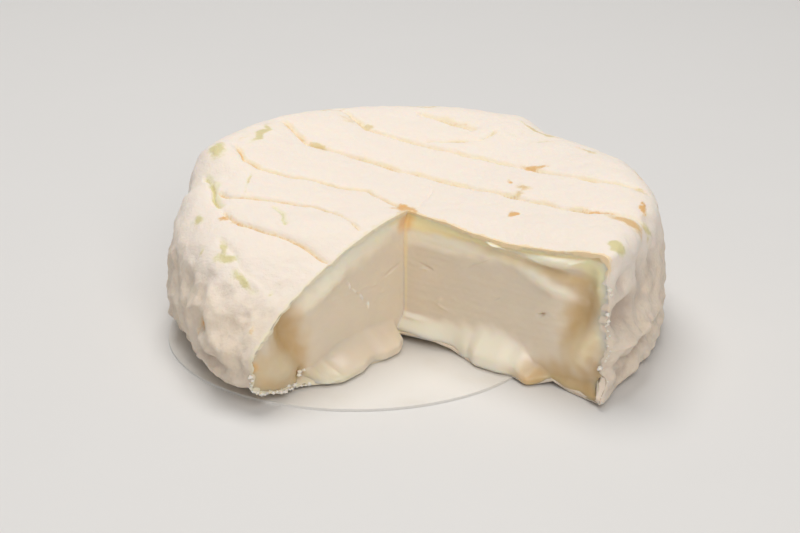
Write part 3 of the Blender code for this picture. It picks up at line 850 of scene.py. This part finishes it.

# What colour the ripe paste has where, with painted shade in its valleys and at the left face's runny foot,
# and painted highlights on two ridges and on the wet lip at the wedge's point, in mm: distance, level, half
# length, half height, tilt, colour, strength, softness of the edge, wetness
RIGHT_TONES = (
    (6.0, 15.7, 10.0, 1.3, 1.0, CREAM, 0.9, 0.6, 0.4),
    (20.0, 16.1, 9.0, 0.8, -3.0, YELLOW, 0.75, 0.6, 0.6),
    (5.0, 17.8, 15.0, 1.3, 2.0, AMBER, 0.95, 0.35, 0.8),
    (23.0, 18.9, 11.0, 1.0, 7.0, AMBER, 0.9, 0.4, 0.7),
    (24.5, 17.5, 5.2, 0.95, 9.0, CREAM, 0.9, 0.3, 0.6),
    (30.6, 16.4, 1.7, 3.4, 0.0, GREENISH, 0.8, 0.5, 0.6),
    (28.4, 10.6, 5.8, 2.0, 76.0, TAN_AND_SHADE, 0.9, 0.7, 0.6),
    (26.5, 15.1, 3.4, 0.9, -10.0, TAN_AND_SHADE, 0.55, 0.7, 0.5),
    # partly the paler rim of the core, partly a painted highlight along its ridge
    (23.6, 13.9, 4.0, 1.0, -17.0, RUNNY, 0.95, 0.5, 0.3),
    (29.2, 6.3, 3.6, 1.8, 60.0, YELLOW, 0.8, 0.7, 0.6),
    (30.2, 17.6, 2.2, 1.5, 0.0, GREENISH, 0.8, 0.6, 0.6),
    # a painted highlight on the wet lip at the wedge's point
    (1.6, 4.1, 2.0, 0.3, 0.0, CRUMB_WHITE_AND_HIGHLIGHT, 0.8, 0.6, 1.0),
    (7.0, 2.0, 13.0, 2.4, 0.0, RUNNY, 1.0, 0.25, 1.0),
    (15.0, 2.8, 7.0, 2.8, -4.0, RUNNY, 1.0, 0.4, 1.0),
    (27.0, 1.2, 6.5, 2.4, 4.0, TAN_AND_SHADE, 0.85, 0.6, 0.8),
    (33.4, 1.8, 3.4, 4.6, 10.0, BROWN_AND_SHADE, 0.9, 0.6, 0.8),
    (0.0, 17.6, 1.3, 1.5, 0.0, ORANGE, 0.7, 0.6, 0.6),
    (0.3, 14.2, 0.35, 3.2, 0.0, AMBER, 0.6, 0.7, 0.4),
    (0.4, 8.5, 0.2, 4.6, 0.0, GREENISH, 0.6, 0.7, 0.2),
    (16.5, 17.6, 0.7, 0.4, -30.0, ORANGE, 0.4, 0.6, 0.4),
    (15.2, 17.7, 1.6, 0.6, -12.0, CREAM, 0.85, 0.35, 0.1),
    (31.8, 19.7, 1.6, 0.6, 0.0, ORANGE, 0.6, 0.6, 0.5),
)
LEFT_TONES = (
    (9.0, 16.1, 13.0, 1.9, -14.0, CREAM, 0.9, 0.6, 0.3),
    # partly paler paste, partly a painted highlight along the ridge below the cream band
    (17.0, 12.6, 5.5, 1.1, -20.0, CREAM, 0.9, 0.5, 0.3),
    (23.2, 8.6, 5.4, 2.4, 62.0, TAN_AND_SHADE, 0.95, 0.8, 0.6),
    # painted shade deepening the left valley
    (23.6, 9.0, 3.6, 1.3, 60.0, BROWN_AND_SHADE, 0.42, 0.8, 0.5),
    (27.0, 3.8, 6.0, 3.6, 12.0, TAN_AND_SHADE, 0.7, 0.5, 0.6),
    (26.2, 4.8, 3.2, 1.7, 12.0, SWOLLEN, 0.85, 0.6, 0.6),
    (9.0, 1.6, 11.0, 2.4, 0.0, RUNNY_SHADED, 0.85, 0.4, 1.0),
    (14.5, 2.2, 5.0, 2.2, 0.0, RUNNY_SHADED, 0.8, 0.6, 0.9),
    (18.8, 1.4, 2.4, 1.4, 0.0, YELLOW, 0.3, 0.6, 0.8),
    (21.2, 1.6, 1.0, 1.8, 20.0, TAN_AND_SHADE, 0.8, 0.8, 0.8),
    (0.3, 17.6, 1.1, 1.5, 0.0, ORANGE, 0.6, 0.6, 0.6),
    (2.0, 18.1, 1.6, 0.6, -10.0, AMBER, 0.7, 0.6, 0.6),
    (30.7, 6.3, 0.9, 0.8, 0.0, ORANGE, 0.85, 0.5, 0.5),
    (11.4, 11.5, 0.5, 0.2, 80.0, CRUMB_WHITE_AND_HIGHLIGHT, 0.8, 0.5, 0.0),
    (10.4, 10.5, 0.7, 0.15, 42.0, CRUMB_WHITE_AND_HIGHLIGHT, 0.6, 0.5, 0.0),
    (8.9, 9.1, 0.6, 0.18, 62.0, CRUMB_WHITE_AND_HIGHLIGHT, 0.8, 0.5, 0.0),
    (7.6, 7.6, 0.5, 0.18, 80.0, CRUMB_WHITE_AND_HIGHLIGHT, 0.8, 0.5, 0.0),
)
CUT_LINE = (0.90, 0.78, 0.50)


def turned(rho, z, middle, level, tilt):
    """A place on a cut as lengths along and across a shape that is tilted there."""
    turn = math.radians(tilt)
    along = (rho - middle) * math.cos(turn) + (z - level) * math.sin(turn)
    return along, (z - level) * math.cos(turn) - (rho - middle) * math.sin(turn)


def swell_height(swells, rho, z):
    """How far the swells and hollows of a cut stand out, in mm."""
    height = 0.0
    for middle, level, half_length, half_height, tilt, outwards in swells:
        along, across = turned(rho, z, middle, level, tilt)
        if abs(along) < 3.0 * half_length and abs(across) < 3.0 * half_height:
            height += outwards * bell(along, half_length) * bell(across, half_height)
    return height


def paste_grain(rho, z, turn):
    """The knife's drag and the curd's grain on a cut, in mm; the runny foot has none."""
    place = Vector((rho, z, 7.0 * turn))
    drag = 0.05 * noise.noise(Vector((rho * 0.16, z * 1.5, turn)))
    grain = 0.035 * noise.noise(place / 0.7) + 0.03 * noise.noise(place / 2.2)
    return (drag + grain) * smooth(z, 4.2, 6.0)


def paste_tone(tones, rho, z, turn):
    """The colour and the wetness of the paste at a place on a cut."""
    colour, wet = Vector(CORE), 0.15
    uneven = 0.35 * noise.noise(Vector((rho, z, 3.0 * turn)) / 1.6)
    uneven += 0.2 * noise.noise(Vector((rho, z, turn)) / 5.0)
    for middle, level, half_length, half_height, tilt, tone, strength, softness, wetness in tones:
        along, across = turned(rho, z, middle, level, tilt)
        distance = math.hypot(along / half_length, across / half_height) + uneven * min(1.0, 2.0 * softness)
        share = strength * smooth(distance, 1.0 + softness, 1.0 - softness)
        colour = colour.lerp(Vector(tone), share)
        wet = mix(wet, wetness, share)
    return colour, wet


def paste_mesh():
    bm = bmesh.new()
    side_layer = bm.verts.layers.int.new("side")
    wet_layer = bm.verts.layers.float.new("wet")
    tone_layer = bm.verts.layers.float_color.new("tone")
    for theta in (RIGHT_CUT, LEFT_CUT):
        made = bmesh.ops.create_grid(bm, x_segments=FACE_ACROSS, y_segments=FACE_UP, size=1.0)
        for vert in made["verts"]:
            u, w = (vert.co.x + 1.0) / 2.0, vert.co.y
            vert.co = Vector((u * math.cos(theta), u * math.sin(theta), w))
    bmesh.ops.remove_doubles(bm, verts=bm.verts[:], dist=1e-5)
    bmesh.ops.recalc_face_normals(bm, faces=bm.faces[:])

    for vert in bm.verts:
        u, w = math.hypot(vert.co.x, vert.co.y), vert.co.z
        theta = unwrapped(math.atan2(vert.co.y, vert.co.x)) if u > 1e-6 else RIGHT_CUT
        at_right = theta < MIDDLE_WAY
        vert[side_layer] = 0 if u < 1e-6 else (-1 if at_right else 1)
        swells = RIGHT_SWELLS if at_right else LEFT_SWELLS
        tones = RIGHT_TONES if at_right else LEFT_TONES
        turn = 1.0 if at_right else -1.0
        point = drum(u * (1.0 - PASTE_INSET_ACROSS), theta, w * (1.0 - PASTE_INSET_UP))[0]
        rim = max(u, abs(w))
        inside = smooth(rim, 1.0, 0.95)
        rho, z = (point.xy - WEDGE_POINT).length / MM, point.z / MM
        foot = z - base_level(point.x, point.y) / MM
        curl = EDGE_SINK * smooth(rim, 0.965, 1.0) + FOOT_CURL * smooth(foot, FOOT_CURL_HEIGHT, 0.0) ** 2
        height = swell_height(swells, rho, z) * inside + paste_grain(rho, z, turn) - curl
        colour, wet = paste_tone(tones, rho, z, turn)
        if not at_right:
            line = smooth(w, 0.93, 0.99) * (0.55 + 0.45 * noise.noise(point / (1.5 * MM)))
            colour = colour.lerp(Vector(CUT_LINE), max(0.0, line) * 0.6)
        vert[tone_layer] = (*colour, 1.0)
        vert[wet_layer] = wet
        point += cut_move(point, RIGHT, 1.0) + cut_move(point, LEFT, 1.0)
        way = into_cheese(0) * smooth(rho, CORNER_EASE, 0.0)
        way += into_cheese(-1 if at_right else 1) * smooth(rho, 0.0, CORNER_EASE)
        vert.co = point - way * height * MM

    faces_middle = Vector((*WEDGE_POINT, MIDDLE_LEVEL))

    def to_back(vert):
        return into_cheese(vert[side_layer]) * BACK_WALL + (faces_middle - vert.co) * BACK_NARROWS

    pull_rim(bm, to_back)
    close_rim(bm, side_layer)
    return bm


def paste_finish():
    made, shade = new_material("ripe_paste")
    tone = shade.attribute("tone", 0)
    wet = shade.attribute("wet")
    curd = shade.noise(0.5 * MM, 5.0, (1.0, 1.0, 1.0), 0.65)
    cloud = shade.noise(3.5 * MM, 3.0)
    colour = (cloud.ramp(0.35, 0.75) * 0.12).blend(tone, CREAM)
    sockets = {
        "Base Color": colour,
        "Roughness": (0.62 - wet * 0.3 + (curd - 0.5) * 0.12).clipped(),
        "Coat Weight": wet.ramp(0.4, 1.0) * 0.35,
        "Coat Roughness": 0.16,
        "Subsurface Weight": 0.75,
        "Subsurface Radius": (1.0, 0.72, 0.42),
        "Subsurface Scale": 1.7 * MM,
        "Specular IOR Level": 0.4,
    }
    return finish_material(made, sockets, curd * (1.0 - wet), 0.05 * MM)


add_piece("paste", paste_mesh(), paste_finish())


# The crumbs: bits of rind and dry curd that the knife left hanging on the lower outer edges of the
# cuts, and a few that fell at the left foot. Each is a soft lump that sticks to the cheese.
CRUMBS = 110
CRUMB_LARGEST = 0.34
CRUMB_SMALLEST = 0.1
CRUMB_SQUASH = 0.75
CRUMB_SEED = 11

# Where crumbs hang: the cut, the lowest and the highest w, the nearest and the farthest u
CRUMB_PLACES = (
    (RIGHT_CUT, -1.0, 0.6, 1.0, 1.0),
    (LEFT_CUT, -1.0, -0.25, 1.0, 1.0),
    (LEFT_CUT, -1.0, -1.0, 0.7, 1.0),
    (LEFT_CUT, -1.0, -0.8, 0.75, 1.0),
)


def crumbs_mesh():
    bm = bmesh.new()
    chance = random.Random(CRUMB_SEED)
    for number in range(CRUMBS):
        theta, lowest, highest, nearest, farthest = CRUMB_PLACES[number % len(CRUMB_PLACES)]
        size = mix(CRUMB_SMALLEST, CRUMB_LARGEST, chance.random() ** 2) * MM
        w = mix(lowest, highest, chance.random() ** 1.5)
        point = drum(chance.uniform(nearest, farthest), theta, w)[0]
        point += cut_move(point, RIGHT, 1.0) + cut_move(point, LEFT, 1.0)
        aside = into_cheese(-1 if theta < MIDDLE_WAY else 1) * chance.uniform(-0.2, 0.5) * MM
        middle = point + aside + Vector((0.0, 0.0, size * 0.5))
        lump = bmesh.ops.create_icosphere(bm, subdivisions=2, radius=size)["verts"]
        for vert in lump:
            bumpy = 1.0 + 0.8 * noise.noise(vert.co * 1.3 / size + Vector((number, 0.0, 0.0)))
            vert.co = middle + Vector((vert.co.x, vert.co.y, vert.co.z * CRUMB_SQUASH)) * bumpy
            vert.co.z = max(vert.co.z, 0.02 * MM)
    return bm


def crumbs_finish():
    made, shade = new_material("crumbs")
    fluff = shade.noise(0.2 * MM, 4.0)
    sockets = {
        "Base Color": fluff.blend(RIND_WHITE, CRUMB_WHITE_AND_HIGHLIGHT),
        "Roughness": 0.8,
        "Subsurface Weight": 0.4,
        "Subsurface Radius": (1.0, 0.7, 0.45),
        "Subsurface Scale": 0.4 * MM,
    }
    return finish_material(made, sockets, fluff, 0.05 * MM)


add_piece("crumbs", crumbs_mesh(), crumbs_finish())


# The table: a plain pale floor of painted board that runs up into a wall behind in one sweep, so that
# no line crosses the view.
FLOOR_TONE = (0.72, 0.705, 0.685)
FLOOR_CLOUD = (0.76, 0.745, 0.725)
FLOOR_HALF = 1.4
WALL_BEHIND = 0.9
WALL_RADIUS = 0.35
WALL_STEPS = 24


def floor_mesh():
    bm = bmesh.new()
    corners = [bm.verts.new((x, WALL_BEHIND, 0.0)) for x in (-FLOOR_HALF, FLOOR_HALF)]
    foot = bm.edges.new(corners)
    front = bmesh.ops.extrude_edge_only(bm, edges=[foot])["geom"]
    front_verts = [item for item in front if isinstance(item, bmesh.types.BMVert)]
    bmesh.ops.translate(bm, vec=(0.0, -FLOOR_HALF - WALL_BEHIND, 0.0), verts=front_verts)
    turned_up = bmesh.ops.spin(
        bm,
        geom=corners + [foot],
        cent=(0.0, WALL_BEHIND, WALL_RADIUS),
        axis=(1.0, 0.0, 0.0),
        angle=math.pi / 2.0,
        steps=WALL_STEPS,
        use_merge=False,
    )["geom_last"]
    last = [item for item in turned_up if isinstance(item, bmesh.types.BMEdge)]
    wall = bmesh.ops.extrude_edge_only(bm, edges=last)["geom"]
    wall_verts = [item for item in wall if isinstance(item, bmesh.types.BMVert)]
    bmesh.ops.translate(bm, vec=(0.0, 0.0, FLOOR_HALF), verts=wall_verts)
    bmesh.ops.recalc_face_normals(bm, faces=bm.faces[:])
    if sum(face.normal.z for face in bm.faces) < 0.0:
        bmesh.ops.reverse_faces(bm, faces=bm.faces[:])
    return bm


floor_data = bpy.data.meshes.new("floor")
floor_form = floor_mesh()
floor_form.to_mesh(floor_data)
floor_form.free()
floor_data.shade_smooth()
floor_paint, floor_shade = new_material("pale_floor")
mottle = floor_shade.noise(30.0 * MM, 4.0)
floor_colour = (mottle.ramp(0.3, 0.8) * 0.15).blend(FLOOR_TONE, FLOOR_CLOUD)
finish_material(floor_paint, {"Base Color": floor_colour, "Roughness": 0.7})
floor_data.materials.append(floor_paint)
floor = bpy.data.objects.new("floor", floor_data)
bpy.context.scene.collection.objects.link(floor)


# The light: a broad soft box above and behind the cheese, a wider one in front and a little to the
# right, and a pale room. Each row has the name, place, size in metres, power in watts and tone.
LIGHTS = (
    ("soft_box", (-0.05, 0.15, 0.50), 0.34, 1.65, (1.0, 0.985, 0.965)),
    ("front_fill", (0.10, -0.46, 0.40), 0.42, 1.75, (1.0, 0.98, 0.95)),
)
ROOM_LIGHT = (0.93, 0.955, 1.0)
ROOM_STRENGTH = 0.26

for name, place, size, power, tone in LIGHTS:
    light_data = bpy.data.lights.new(name, "AREA")
    light_data.shape = "DISK"
    light_data.size = size
    light_data.energy = power
    light_data.color = tone
    light = bpy.data.objects.new(name, light_data)
    light.location = place
    light.rotation_euler = Vector(place).to_track_quat("Z", "Y").to_euler()
    bpy.context.scene.collection.objects.link(light)

room = bpy.data.worlds.new("room")
room.use_nodes = True
background = room.node_tree.nodes["Background"]
background.inputs["Color"].default_value = (*ROOM_LIGHT, 1.0)
background.inputs["Strength"].default_value = ROOM_STRENGTH
bpy.context.scene.world = room
bpy.context.scene.view_settings.view_transform = "Standard"
